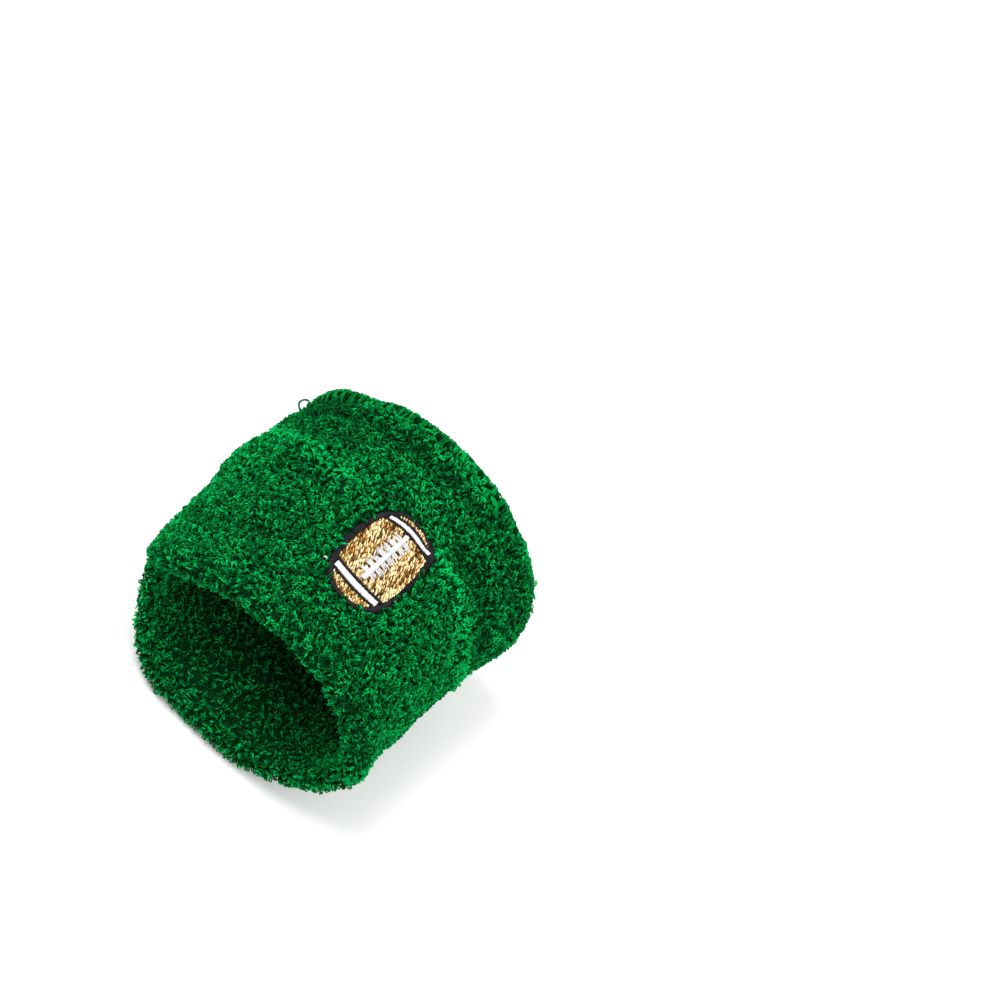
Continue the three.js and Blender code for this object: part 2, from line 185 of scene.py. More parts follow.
# Worked out from the values above.
FOREARM_EDGE = -BAND_LENGTH / 2
HAND_EDGE = BAND_LENGTH / 2
CENTRE_HEIGHT = WRIST_HEIGHT / 2 + WALL - REST_FLAT
LAYER_END = SEAM_S - SEAM_GAP / 2
HEM_START = SEAM_S + SEAM_GAP / 2
HEM_MIDDLE = HAND_EDGE - HEM_INSET
NOSE_S = FOREARM_EDGE + WALL / 2  # middle of the fold's bend


# ---------------------------------------------------------------- shape of the band


def bell(x):
    return np.exp(-x * x)


def degrees_from(angle, degrees):
    return (np.degrees(angle) - degrees + 180) % 360 - 180


def pucker_height(angle, s):
    total = np.zeros(np.broadcast(angle, s).shape)
    for centre, along, spread, width, height in PUCKERS:
        total = total + height * bell((s - along) / width) * bell(degrees_from(angle, centre) / spread)
    return total


def wrinkle_height(angle, s):
    """Height of the wrinkle lines, each a bell across its nearest stretch."""
    total = np.zeros(np.broadcast(angle, s).shape)
    for line, width, height in WRINKLES:
        nearest = np.full(total.shape, np.inf)
        for (a0, s0), (a1, s1) in zip(line, line[1:]):
            x = np.radians(degrees_from(angle, a0)) * MEAN_RADIUS
            dx = np.radians(a1 - a0) * MEAN_RADIUS
            ds = s1 - s0
            t = np.clip((x * dx + (s - s0) * ds) / (dx * dx + ds * ds), 0, 1)
            nearest = np.minimum(nearest, np.hypot(x - t * dx, s - s0 - t * ds))
        total = total + height * bell(nearest / width)
    return total


def half_width(s):
    t = np.clip((s - FOREARM_EDGE) / BAND_LENGTH, 0, 1)
    return WRIST_WIDTH / 2 + WALL + HAND_END_FLARE / 2 * (t * t * (3 - 2 * t) - 0.5)


def band_point(angle, s, depth, relief):
    """A point of the band before it is moved to the frame's origin."""
    wide = half_width(s)
    high = WRIST_HEIGHT / 2 + WALL
    nx = np.cos(angle) / wide
    nz = np.sin(angle) / high
    size = np.hypot(nx, nz)
    out = relief * (1 - depth / WALL) - depth
    x = wide * np.cos(angle) + nx / size * out
    z = np.maximum(CENTRE_HEIGHT + high * np.sin(angle) + nz / size * out, depth)
    share = (s - FOREARM_EDGE) / BAND_LENGTH
    skew = FOREARM_SKEW + (HAND_SKEW - FOREARM_SKEW) * share
    draw = DRAW_REACH * bell(degrees_from(angle, DRAW_ANGLE) / DRAW_SPREAD) * (1 - share) ** 2
    return np.stack([x, s + draw + skew * x + LEAN * (z - CENTRE_HEIGHT), z], axis=-1)


def origin_shift():
    """From the formula's origin to the frame's, found by lining up the inner layer."""
    angle = np.linspace(0, 2 * np.pi, CAD_TURNS, endpoint=False)[:, None]
    ends = np.array([FOREARM_EDGE + FOLD_RETURN + CLEARANCE, LAYER_END])
    sides = [
        band_point(angle, ends, np.full((1, 2), depth), pucker_height(angle, ends))
        for depth in (WALL - INNER_LAYER, WALL)
    ]
    points = np.concatenate(sides).reshape(-1, 3)
    low, high = (np.array(corner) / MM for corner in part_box("inner_terry_layer"))
    shift = (low + high) / 2 - (points.min(0) + points.max(0)) / 2
    return np.array([shift[0], shift[1], 0])


SHIFT = origin_shift()


def place(angle, s, depth):
    angle, s, depth = np.broadcast_arrays(angle, s, depth)
    relief = pucker_height(angle, s) + wrinkle_height(angle, s)
    return band_point(angle, s, depth, relief) + SHIFT


def unit(vectors):
    return vectors / np.maximum(np.linalg.norm(vectors, axis=-1, keepdims=True), 1e-9)


def cloth_path():
    """(s, depth) along the knitted ground: outside from the seam, round the fold, and back inside."""
    quarter = np.linspace(0, np.pi / 2, 7)
    half = np.linspace(0, np.pi, 15)
    middle = (GROUND_DEPTH + INNER_GROUND_DEPTH) / 2
    radius = (INNER_GROUND_DEPTH - GROUND_DEPTH) / 2
    drop = 0.8 * radius
    straight = np.linspace(LAYER_END - CURL, NOSE_S, 90)[1:-1]
    s = [
        LAYER_END - CURL * (1 - np.cos(quarter)),
        straight,
        NOSE_S - radius * np.sin(half),
        straight[::-1],
        LAYER_END - CURL * (1 - np.cos(quarter[::-1])),
    ]
    depth = [
        GROUND_DEPTH + drop * (1 - np.sin(quarter)),
        np.full(straight.shape, GROUND_DEPTH),
        middle - radius * np.cos(half),
        np.full(straight.shape, INNER_GROUND_DEPTH),
        INNER_GROUND_DEPTH - drop * (1 - np.sin(quarter[::-1])),
    ]
    return np.concatenate(s), np.concatenate(depth)


PATH_S, PATH_DEPTH = cloth_path()
PATH_Q = np.concatenate([[0], np.cumsum(np.hypot(np.diff(PATH_S), np.diff(PATH_DEPTH)))])
PATH_LENGTH = PATH_Q[-1]
FOLD_Q = PATH_LENGTH / 2
PILE_CHANGE_Q = FOLD_Q + 4  # the fine pile of the outer side runs round the fold


def on_cloth(angle, q):
    return place(angle, np.interp(q, PATH_Q, PATH_S), np.interp(q, PATH_Q, PATH_DEPTH))


def cloth_axes(angle, q):
    """Foot point, direction round the wrist, direction along the cloth, and outward normal."""
    foot = on_cloth(angle, q)
    round_wrist = unit(on_cloth(angle + 0.01, q) - foot)
    along = on_cloth(angle, q + 0.3) - on_cloth(angle, q - 0.3)
    normal = unit(np.cross(round_wrist, along))
    return foot, round_wrist, np.cross(normal, round_wrist), normal


# ---------------------------------------------------------------- shape of the embroidery


def oval(turn, wide, long):
    power = 2 / BALL_BLUNTNESS
    u = wide * np.sign(np.cos(turn)) * np.abs(np.cos(turn)) ** power
    v = long * np.sign(np.sin(turn)) * np.abs(np.sin(turn)) ** power
    return np.stack([u, v], axis=-1)


def ball_half_width(v):
    share = np.minimum(np.abs(v) / (BALL_LENGTH / 2), 1)
    return BALL_WIDTH / 2 * (1 - share**BALL_BLUNTNESS) ** (1 / BALL_BLUNTNESS)


def stitch_point(uv, depth):
    s = BALL_OFFSET_S + uv[..., 1]
    angle = np.arccos(np.clip((BALL_OFFSET_X + uv[..., 0]) / half_width(s), -1, 1))
    return place(angle, s, depth)


def motif_share(angle, s):
    """Below 1 inside the motif's outline."""
    u = half_width(s) * np.cos(angle) - BALL_OFFSET_X
    v = s - BALL_OFFSET_S
    margin = np.where(u < 0, MOTIF_MARGIN_LEFT, MOTIF_MARGIN_RIGHT)
    wide = BALL_WIDTH / 2 + CLEARANCE + OUTLINE_SIDE + margin
    long = BALL_LENGTH / 2 + CLEARANCE + OUTLINE_TIP + margin
    share = (np.abs(u) / wide) ** BALL_BLUNTNESS + (np.abs(v) / long) ** BALL_BLUNTNESS
    return np.where(np.sin(angle) > 0, share, 9)


def stripe_line(stripe, out):
    """(end, bow) of the line out mm beyond a stripe's middle, away from the ball's middle."""
    side, middle, _, bow = STRIPES[stripe]
    return side * (middle - bow + out), side * bow


def line_v(u, line):
    end, bow = line
    return end + bow * (1 - (u / ball_half_width(end)) ** 2)


# ---------------------------------------------------------------- meshes


CORNER_STEPS = np.array([[0, 0], [1, 0], [1, 1], [0, 1]])  # round a face, in its grid


def new_object(name, points, quads, tones, uvs):
    mesh = bpy.data.meshes.new(name)
    mesh.vertices.add(len(points))
    mesh.vertices.foreach_set("co", (points * MM).astype(np.float32).ravel())
    mesh.loops.add(quads.size)
    mesh.loops.foreach_set("vertex_index", quads.astype(np.int32).ravel())
    mesh.polygons.add(len(quads))
    mesh.polygons.foreach_set("loop_start", np.arange(0, quads.size, 4, dtype=np.int32))
    mesh.polygons.foreach_set("use_smooth", np.ones(len(quads), dtype=bool))
    uv_map = mesh.uv_layers.new(name="OFBake")
    uv_map.data.foreach_set("uv", uvs.astype(np.float32).ravel())
    tone = mesh.attributes.new("tone", "FLOAT", "POINT")
    tone.data.foreach_set("value", tones.astype(np.float32).ravel())
    mesh.update(calc_edges=True)
    made = bpy.data.objects.new(name, mesh)
    bpy.context.scene.collection.objects.link(made)
    return made


def finish_piece(made, material, replaces=()):
    made.data.materials.append(material)
    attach(made, "root")
    if replaces:
        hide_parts(*replaces)
    return made


def strand_piece(name, groups, material, replaces=()):
    """One piece from groups of strands. Every strand has its own cell in the UV map."""
    total = sum(len(points) for points, _ in groups)
    side = int(np.ceil(np.sqrt(total)))
    all_points, all_quads, all_tones, all_uvs = [], [], [], []
    start = 0
    first = 0
    for points, tone in groups:
        count, stations, corners = points.shape[:3]
        i, j, k = np.meshgrid(np.arange(count), np.arange(stations - 1), np.arange(corners), indexing="ij")
        here = start + (i * stations + j) * corners
        beyond = (k + 1) % corners
        all_quads.append(np.stack([here + k, here + corners + k, here + corners + beyond, here + beyond], -1))
        cell = np.stack([(first + i) % side, (first + i) // side], -1)[..., None, :]
        local = np.stack([j, k], -1)[..., None, :] + CORNER_STEPS
        share = local / np.array([stations - 1, corners])
        all_uvs.append((cell + 0.08 + 0.84 * share) / side)
        all_points.append(points.reshape(-1, 3))
        all_tones.append(np.repeat(tone.reshape(-1), corners))
        start += points.size // 3
        first += count
    quads = np.concatenate([q.reshape(-1, 4) for q in all_quads])
    uvs = np.concatenate([uv.reshape(-1, 2) for uv in all_uvs])
    points = np.concatenate(all_points)
    points[:, 2] = np.maximum(points[:, 2], FLOOR_CLEAR)
    made = new_object(name, points, quads, np.concatenate(all_tones), uvs)
    return finish_piece(made, material, replaces)


def ring_piece(name, points, closed, tones, material, replaces=()):
    """A skin of points[turn, station], joined round the wrist and, where closed, round its section."""
    turns, stations = points.shape[:2]
    last = stations if closed else stations - 1
    i, j = np.meshgrid(np.arange(turns), np.arange(last), indexing="ij")
    i1 = (i + 1) % turns
    j1 = (j + 1) % stations
    quads = np.stack([i * stations + j, i1 * stations + j, i1 * stations + j1, i * stations + j1], -1)
    uvs = (np.stack([i, j], -1)[..., None, :] + CORNER_STEPS) / np.array([turns, last])
    made = new_object(name, points.reshape(-1, 3), quads.reshape(-1, 4), tones, uvs.reshape(-1, 2))
    return finish_piece(made, material, replaces)


def strands(centres, sides, wide, thick, tone, corners=4, spin=0.0):
    """Tubes round centres[n, station]. wide is the radius along sides, thick the one square to them."""
    tangents = unit(np.gradient(centres, axis=1))
    sides = unit(sides - tangents * np.sum(sides * tangents, -1, keepdims=True))
    normals = np.cross(sides, tangents)
    turn = 2 * np.pi * np.arange(corners) / corners
    spin = np.broadcast_to(spin, centres.shape[:2])[..., None]
    wide = np.broadcast_to(wide, centres.shape[:2])[..., None]
    thick = np.broadcast_to(thick, centres.shape[:2])[..., None]
    x = wide * np.cos(turn)
    y = thick * np.sin(turn)
    across = x * np.cos(spin) - y * np.sin(spin)
    up = x * np.sin(spin) + y * np.cos(spin)
    rings = centres[:, :, None] + across[..., None] * sides[:, :, None] + up[..., None] * normals[:, :, None]
    return rings, np.broadcast_to(tone, centres.shape[:2])


# ---------------------------------------------------------------- materials


def node_material(name, roughness, gloss=0.3, sheen=0.0, sheen_tint=(1, 1, 1, 1)):
    made = bpy.data.materials.new(name)
    made.use_nodes = True
    shader = made.node_tree.nodes["Principled BSDF"]
    shader.inputs["Roughness"].default_value = roughness
    shader.inputs["Specular IOR Level"].default_value = gloss
    shader.inputs["Sheen Weight"].default_value = sheen
    shader.inputs["Sheen Roughness"].default_value = 0.4
    shader.inputs["Sheen Tint"].default_value = sheen_tint
    return made, made.node_tree, shader


def add_ramp(tree, source, stops):
    ramp = tree.nodes.new("ShaderNodeValToRGB")
    elements = ramp.color_ramp.elements
    while len(elements) < len(stops):
        elements.new(0.5)
    for element, (position, colour) in zip(elements, stops):
        element.position = position
        element.color = (*colour, 1)
    tree.links.new(source, ramp.inputs["Fac"])
    return ramp.outputs["Color"]


def add_noise(tree, scale, detail=2):
    """Noise over the band itself. scale is in turns per metre."""
    place_node = tree.nodes.new("ShaderNodeTexCoord")
    noise = tree.nodes.new("ShaderNodeTexNoise")
    noise.inputs["Scale"].default_value = scale
    noise.inputs["Detail"].default_value = detail
    tree.links.new(place_node.outputs["Object"], noise.inputs["Vector"])
    return noise.outputs["Fac"]


def add_maths(tree, operation, first, second):
    node = tree.nodes.new("ShaderNodeMath")
    node.operation = operation
    for socket, value in zip(node.inputs, (first, second)):
        if isinstance(value, (int, float)):
            socket.default_value = value
        else:
            tree.links.new(value, socket)
    return node.outputs["Value"]


def add_bump(tree, shader, height, distance, strength=1.0):
    bump = tree.nodes.new("ShaderNodeBump")
    bump.inputs["Distance"].default_value = distance * MM
    bump.inputs["Strength"].default_value = strength
    tree.links.new(height, bump.inputs["Height"])
    tree.links.new(bump.outputs["Normal"], shader.inputs["Normal"])


def yarn_material(
    name, stops, roughness, gloss, sheen, sheen_tint=(1, 1, 1, 1), patch=0.12, fibre=1100, grain=0.55
):
    """Yarn coloured by its tone, with slow patches of shade and fine fibres."""
    made, tree, shader = node_material(name, roughness, gloss, sheen, sheen_tint)
    tone = tree.nodes.new("ShaderNodeAttribute")
    tone.attribute_name = "tone"
    slow = add_maths(tree, "MULTIPLY", add_maths(tree, "SUBTRACT", add_noise(tree, 110), 0.5), patch * 2)
    fine = add_maths(tree, "MULTIPLY", add_maths(tree, "SUBTRACT", add_noise(tree, fibre, 3), 0.5), grain)
    shade = add_maths(tree, "ADD", add_maths(tree, "ADD", tone.outputs["Fac"], slow), fine)
    tree.links.new(add_ramp(tree, shade, stops), shader.inputs["Base Color"])
    add_bump(tree, shader, add_noise(tree, 4 * fibre, 2), 0.08, 0.6)
    return made


def knit_material():
    """Green jersey: columns of V-shaped stitches, seen between the loops, coloured darker than the pile yarn
    as painted shade of the gaps between the loops.
    """
    made, tree, shader = node_material("knit_ground", 0.9, 0.05, 0.1, GREEN_SHEEN)
    wave = tree.nodes.new("ShaderNodeTexWave")
    wave.inputs["Scale"].default_value = 90
    wave.inputs["Distortion"].default_value = 1.5
    uv = tree.nodes.new("ShaderNodeUVMap")
    uv.uv_map = "OFBake"
    tree.links.new(uv.outputs["UV"], wave.inputs["Vector"])
    shade = add_maths(tree, "MULTIPLY", wave.outputs["Fac"], add_noise(tree, 500))
    # Dark green stops: the green and the knit stripes are the ground's own, the darkness is painted shade
    # between the loops.
    stops = [(0.0, (0.001, 0.016, 0.004)), (0.6, (0.002, 0.07, 0.018))]
    tree.links.new(add_ramp(tree, shade, stops), shader.inputs["Base Color"])
    add_bump(tree, shader, wave.outputs["Fac"], 0.2)
    return made


def speckled_material(name, dark, light, scale, roughness):
    made, tree, shader = node_material(name, roughness)
    noise = add_noise(tree, scale, 4)
    tree.links.new(add_ramp(tree, noise, [(0.35, dark), (0.65, light)]), shader.inputs["Base Color"])
    add_bump(tree, shader, noise, 0.1)
    return made


GREEN_STOPS = [
    (0.0, (0.0004, 0.016, 0.003)),
    (0.35, (0.0006, 0.075, 0.012)),
    (0.65, (0.0008, 0.20, 0.034)),
    (1.0, (0.0015, 0.50, 0.11)),
]
GREEN_SHEEN = (0.0, 1.0, 0.22, 1)
TERRY = yarn_material("terry_yarn", GREEN_STOPS, 0.55, 0.02, 0.45, GREEN_SHEEN)
KNIT = knit_material()
GOLD_STOPS = [
    (0.0, (0.02, 0.008, 0.001)),
    (0.28, (0.16, 0.062, 0.004)),
    (0.52, (0.52, 0.27, 0.045)),
    (0.9, (1.0, 0.82, 0.45)),
]
GOLD = yarn_material("gold_thread", GOLD_STOPS, 0.4, 0.25, 0.0, patch=0.05, fibre=1500, grain=0.5)
BLACK_STOPS = [(0.0, (0.001, 0.001, 0.002)), (1.0, (0.016, 0.015, 0.019))]
BLACK = yarn_material("black_thread", BLACK_STOPS, 0.5, 0.15, 0.0, patch=0.1, fibre=1500)
WHITE_STOPS = [(0.0, (0.30, 0.30, 0.31)), (0.6, (0.68, 0.69, 0.71)), (1.0, (0.84, 0.85, 0.86))]
WHITE = yarn_material("white_thread", WHITE_STOPS, 0.45, 0.4, 0.1, patch=0.1, fibre=1500)


# ---------------------------------------------------------------- terry pile


def ripple(angle, s, waves=7):
    """Smooth seeded noise between about -1 and 1, on the scale of a clump of loops."""
    total = np.zeros(np.broadcast(angle, s).shape)
    for _ in range(waves):
        turns = rng.integers(4, 26)
        per_mm = rng.uniform(-0.75, 0.75)
        total = total + np.sin(turns * angle + per_mm * s + rng.uniform(0, 2 * np.pi))
    return total / np.sqrt(waves)


def terry_loops(angle, q, height, stations):
    """One loop of yarn for each (angle, q): up from the ground, round, and back, crinkled and leaning."""

    def column(low, high):
        return rng.uniform(low, high, len(angle))[:, None]

    foot, side, along, normal = cloth_axes(angle, q)
    turn = np.linspace(0, 2 * np.pi, stations)[None]
    rise = (1 - np.cos(turn)) / 2
    tall = height * column(0.7, 1.15)
    wide = HALF_LOOP * column(0.65, 1.35)
    crinkle = column(0.04, 0.17) * np.sin(turn / 2)
    x = wide * np.sin(turn) * (0.4 + 0.6 * rise) + crinkle * np.sin(3 * turn + column(0, 6.3))
    y = crinkle * np.sin(2 * turn + column(0, 6.3))
    z = tall * rise + crinkle * np.sin(4 * turn + column(0, 6.3)) * 0.6
    plane = column(0, 2 * np.pi) + column(-1.3, 1.3) * rise
    lean = tall * column(0.2, 1.25) * rise**1.3
    lean_way = column(-2.2, 2.2) + 1.5 * ripple(angle, q)[:, None]
    local_x = x * np.cos(plane) - y * np.sin(plane) + lean * np.cos(lean_way)
    local_y = x * np.sin(plane) + y * np.cos(plane) + lean * np.sin(lean_way)
    local_z = z * (1 - 0.25 * lean / tall)
    axes = [a[:, None] for a in (side, along, normal)]
    centres = foot[:, None] + local_x[..., None] * axes[0] + local_y[..., None] * axes[1]
    centres = centres + local_z[..., None] * axes[2]
    sides = -np.sin(plane)[..., None] * axes[0] + np.cos(plane)[..., None] * axes[1]
    s = np.interp(q, PATH_Q, PATH_S)
    # The crease term is painted shade in creases and painted light on ridges; the ripple term is random tone.
    shade = PAINTED_CREASE_SHADE * wrinkle_height(angle, s) * (q < FOLD_Q) + 0.06 * ripple(angle, q)
    # Each loop's tone rises from its feet to its top: painted shade at the feet and painted light on the
    # tops, over a random tone per loop.
    tone = column(0.17, 0.93) + rise - 0.86 + shade[:, None]
    spin = column(0, 3) + np.arange(stations)[None] * PLY_TURN
    thick = YARN * column(0.85, 1.15)
    return strands(centres, sides, thick * 1.2, thick * 0.8, tone, spin=spin)


def scatter(q_from, q_to, pitch, around):
    """Jittered rows of (angle, q) over the cloth."""
    rows = int(round((q_to - q_from) / pitch))
    columns = int(round(around / pitch))
    row = np.arange(rows)[:, None]
    q = q_from + (row + 0.5) * pitch + rng.uniform(-0.5, 0.5, (rows, columns)) * pitch
    turns = np.arange(columns)[None] + rng.uniform(-0.5, 0.5, (rows, columns)) + 0.5 * (row % 2)
    return (2 * np.pi * turns / columns % (2 * np.pi)).ravel(), q.ravel()


def pile_patches(name, angle, q, height, stations, patches):
    made = []
    sector = (angle / (2 * np.pi) * patches).astype(int)
    for i in range(patches):
        chosen = sector == i
        loops = terry_loops(angle[chosen], q[chosen], height, stations)
        made.append(strand_piece(f"{name}_{i + 1}", [loops], TERRY))
    return made


def make_pile():
    angle, q = scatter(PILE_START, PILE_CHANGE_Q, OUTER_PITCH, OUTER_ROUND)
    clear = motif_share(angle, np.interp(q, PATH_Q, PATH_S)) > 1
    clear |= q > FOLD_Q - 4
    angle, q = angle[clear], q[clear]
    outer = pile_patches("outer_pile", angle, q, GROUND_DEPTH, OUTER_STATIONS, OUTER_PATCHES)
    angle, q = scatter(PILE_CHANGE_Q, PATH_LENGTH - PILE_START, INNER_PITCH, INNER_ROUND)
    height = WALL - INNER_GROUND_DEPTH
    inner = pile_patches("inner_pile", angle, q, height, INNER_STATIONS, INNER_PATCHES)
    return outer + inner


def make_cloth():
    """The knitted ground is one sheet that runs through the fold, under the pile of both layers."""
    turns = 240
    angle = np.linspace(0, 2 * np.pi, turns, endpoint=False)[:, None]
    points = on_cloth(angle, PATH_Q[None])
    tones = np.zeros(points.shape[:2])
    made = ring_piece(
        "knitted_ground", points, False, tones, KNIT,
        ["outer_terry_layer", "inner_terry_layer"],
    )


# ---------------------------------------------------------------- hem, seam and loose yarn


def make_hem():
    turns = 360
    corners = 16
    angle = np.linspace(0, 2 * np.pi, turns, endpoint=False)[:, None]
    radius = HEM_THICK / 2 - 0.45
    turn = np.linspace(0, 2 * np.pi, corners, endpoint=False)[None]
    s = HEM_MIDDLE + radius * np.cos(turn) * 0.45
    depth = WALL / 2 + radius * np.sin(turn) + 0.15 * np.sin(97 * angle)
    tones = np.full((turns, corners), 0.2)
    core = ring_piece("hem_core", place(angle, s, depth), True, tones, TERRY)
    yarns = [hem_wraps(), hem_loops()]
    binding = strand_piece("hem_binding", yarns, TERRY, ["hand_end_hem"])
    return [core, binding]


def hem_wraps():
    """Yarn bound over the raw edge."""
    count = HEM_WRAPS
    stations = 13
    at = 2 * np.pi * (np.arange(count) + rng.uniform(-0.35, 0.35, count)) / count
    turn = np.linspace(-0.62 * np.pi, 0.62 * np.pi, stations)[None]
    swing = rng.uniform(-0.03, 0.03, count)[:, None]
    puff = rng.uniform(0.75, 1.0, count)[:, None]
    radius = HEM_THICK / 2 * puff
    s = HEM_MIDDLE + radius * np.cos(turn) * 0.6
    depth = WALL / 2 + HEM_THICK / 2 * np.sin(turn)
    angle = at[:, None] + swing * turn + 0.006 * np.sin(3 * turn + at[:, None] * 50)
    centres = place(angle, s, depth)
    sides = place(angle + 0.01, s, depth) - centres
    # Darker towards both ends of each wrap, where it tucks in against the cloth: painted shade, over a random
    # tone.
    tone = rng.uniform(0.3, 0.85, count)[:, None] - 0.2 * np.abs(turn / np.pi)
    return strands(centres, sides, 0.34, 0.26, tone, spin=np.arange(stations)[None] * PLY_TURN)


def hem_loops():
    """Loops of yarn that stand out along the binding."""
    count = HEM_LOOPS
    stations = 10
    at = rng.uniform(0, 2 * np.pi, count)
    turn = rng.uniform(-0.5 * np.pi, 0.5 * np.pi, count)
    foot_radius = HEM_THICK / 2 - 0.6
    reach = rng.uniform(0.5, 1.05, count)[:, None]
    t = np.linspace(0, 2 * np.pi, stations)[None]
    rise = reach * (1 - np.cos(t)) / 2
    wide = rng.uniform(0.3, 0.65, count)[:, None]
    plane = rng.uniform(0, 2 * np.pi, count)[:, None]
    shift = wide * np.sin(t)
    local_turn = turn[:, None] + shift * np.cos(plane) / (foot_radius + 0.8)
    radius = foot_radius + rise
    s = HEM_MIDDLE + radius * np.cos(local_turn) * 0.65
    depth = WALL / 2 + radius * np.sin(local_turn)
    angle = at[:, None] + shift * np.sin(plane) / MEAN_RADIUS
    centres = place(angle, s, depth)
    sides = np.cross(np.gradient(centres, axis=1), centres - centres[:, :1] + 0.01)
    # Lighter towards each loop's top and darker at its feet: painted light and shade, over a random tone.
    tone = rng.uniform(0.2, 0.9, count)[:, None] + 0.25 * (rise / reach - 0.7)
    spin = np.arange(stations)[None] * PLY_TURN
    return strands(centres, sides, YARN * 1.15, YARN * 0.85, tone, spin=spin)


def seam_angles():
    return 2 * np.pi * (np.arange(SEAM_STITCHES) + 0.5) / SEAM_STITCHES


def make_seam():
    """Bundles of linking yarn that cross the gap on both faces, with a hole between each two."""
    groups = []
    stations = 9
    t = np.linspace(0, 1, stations)[None]
    spin = np.arange(stations)[None] * SEAM_PLY_TURN
    s = LAYER_END - 1.0 + t * (HEM_START - LAYER_END + 1.8)
    for face_depth, lift in ((GROUND_DEPTH - 0.2, -0.7), (WALL - 2.0, 0.5)):
        for offset in (-0.42, 0, 0.42):
            at = seam_angles() + (offset + rng.uniform(-0.12, 0.12, SEAM_STITCHES)) / MEAN_RADIUS
            slant = rng.uniform(-0.012, 0.012, SEAM_STITCHES)[:, None]
            depth = face_depth + lift * np.sin(np.pi * t)
            centres = place(at[:, None] + slant * (2 * t - 1), s, depth)
            sides = place(at[:, None] + 0.01, s, depth) - centres
            tone = rng.uniform(0.35, 0.8, SEAM_STITCHES)[:, None]
            groups.append(strands(centres, sides, 0.3, 0.24, tone, spin=spin))
    groups += ringlets()
    return strand_piece("linking_stitches", groups, TERRY, ["linking_seam_thread"])


def ringlets():
    """Slack arcs of plied yarn beside the holes, with their strands side by side."""
    angle = seam_angles() + np.pi / SEAM_STITCHES + rng.uniform(-0.025, 0.025, SEAM_STITCHES)
    angle = angle[np.abs(degrees_from(angle, SNAG_ANGLE)) > RINGLET_CLEAR]
    count = len(angle)
    q = rng.uniform(1.4, 3.6, count)
    foot, side, along, normal = (a[:, None] for a in cloth_axes(angle, q))
    t = np.linspace(0, 1, 18)[None]
    begin = rng.uniform(0, 2 * np.pi, count)[:, None]
    turn = begin + rng.uniform(1.9, 3.3, count)[:, None] * t
    tilt = rng.uniform(-0.5, 0.5, count)[:, None]
    size = rng.uniform(0.8, 1.25, count)[:, None]
    shade = rng.uniform(0.45, 0.85, count)[:, None]
    made = []
    for strand in range(RINGLET_STRANDS):
        radius = size * (0.9 + 0.36 * strand) + rng.uniform(-0.08, 0.08, (count, 1))
        x = radius * np.cos(turn)
        y = radius * np.sin(turn)
        z = GROUND_DEPTH - 1.6 + 1.5 * np.sin(np.pi * t) ** 0.6 + y * np.sin(tilt)
        y = y * np.cos(tilt)
        centres = foot + x[..., None] * side + y[..., None] * along + z[..., None] * normal
        sides = np.broadcast_to(normal, centres.shape)
        made.append(strands(centres, sides, 0.18, 0.15, shade + rng.uniform(-0.1, 0.1, (count, 1))))
    return made


def make_snag():
    """Drop-shaped loop of yarn, narrow where it leaves the pile."""
    stations = 40
    turn = np.linspace(0, 2 * np.pi, stations)[None]
    rise = (1 - np.cos(turn)) / 2
    root = np.radians(SNAG_ANGLE)
    foot = place(root, SNAG_S, GROUND_DEPTH - SNAG_ROOT)
    side = unit(place(root + 0.1, SNAG_S, 0) - place(root - 0.1, SNAG_S, 0))
    along = np.array([0, 1, 0])
    up = unit(unit(np.cross(along, side)) + 0.5 * along)
    across = unit(0.33 * along - 0.95 * side)
    swing = SNAG_SPAN / 2 * np.sin(turn) * (0.1 + 1.05 * rise)
    lift = (SNAG_HEIGHT + GROUND_DEPTH - SNAG_ROOT) * rise**0.8
    centres = foot + swing[..., None] * across + lift[..., None] * up
    sides = np.broadcast_to(np.cross(up, across), centres.shape)
    tone = np.full((1, stations), 0.4)
    spin = np.arange(stations)[None] * SNAG_PLY_TURN
    loop = strands(centres, sides, 0.33, 0.28, tone, corners=6, spin=spin)
    return strand_piece("pulled_loop", [loop], TERRY, ["pulled_yarn_loop"])


# ---------------------------------------------------------------- embroidery


def stitches(starts, ends, width, depth, tone, dip=0.5, stations=7):
    """One raised thread from each start to its end, dipping into the cloth at both."""
    starts = np.asarray(starts, float)
    ends = np.asarray(ends, float)
    t = np.linspace(0, 1, stations)
    uv = starts[:, None] + (ends - starts)[:, None] * t[None, :, None]
    arch = np.sin(np.pi * t) ** 0.5
    depths = depth + STITCH_THICK / 2 + dip * (1 - arch)[None] + rng.uniform(-0.06, 0.06, (len(starts), 1))
    centres = stitch_point(uv, depths)
    way = unit(ends - starts)
    across = np.stack([-way[:, 1], way[:, 0]], -1)[:, None]
    sides = stitch_point(uv + 0.2 * across, depths) - centres
    taper = (0.55 + 0.45 * arch)[None]
    # Brighter at a stitch's crown and darker where it dips into the cloth: painted highlight and painted
    # shade.
    tones = np.asarray(tone)[:, None] + 0.3 * (arch[None] - 0.7)
    return strands(centres, sides, width / 2 * taper, STITCH_THICK / 2 * taper, tones, corners=6)


def satin(line_points, far_points, width, depth, low=0.4, high=0.95, dip=0.4):
    tone = rng.uniform(low, high, len(line_points))
    return stitches(line_points, far_points, width, depth, tone, dip)


def underlay(starts, ends, width, depth):
    """Flat threads that close the ground below the stitches, given a dark tone as painted shade between the
    stitches.
    """
    tone = np.full(len(starts), 0.12)
    return stitches(starts, ends, width, depth, tone, dip=0.05)


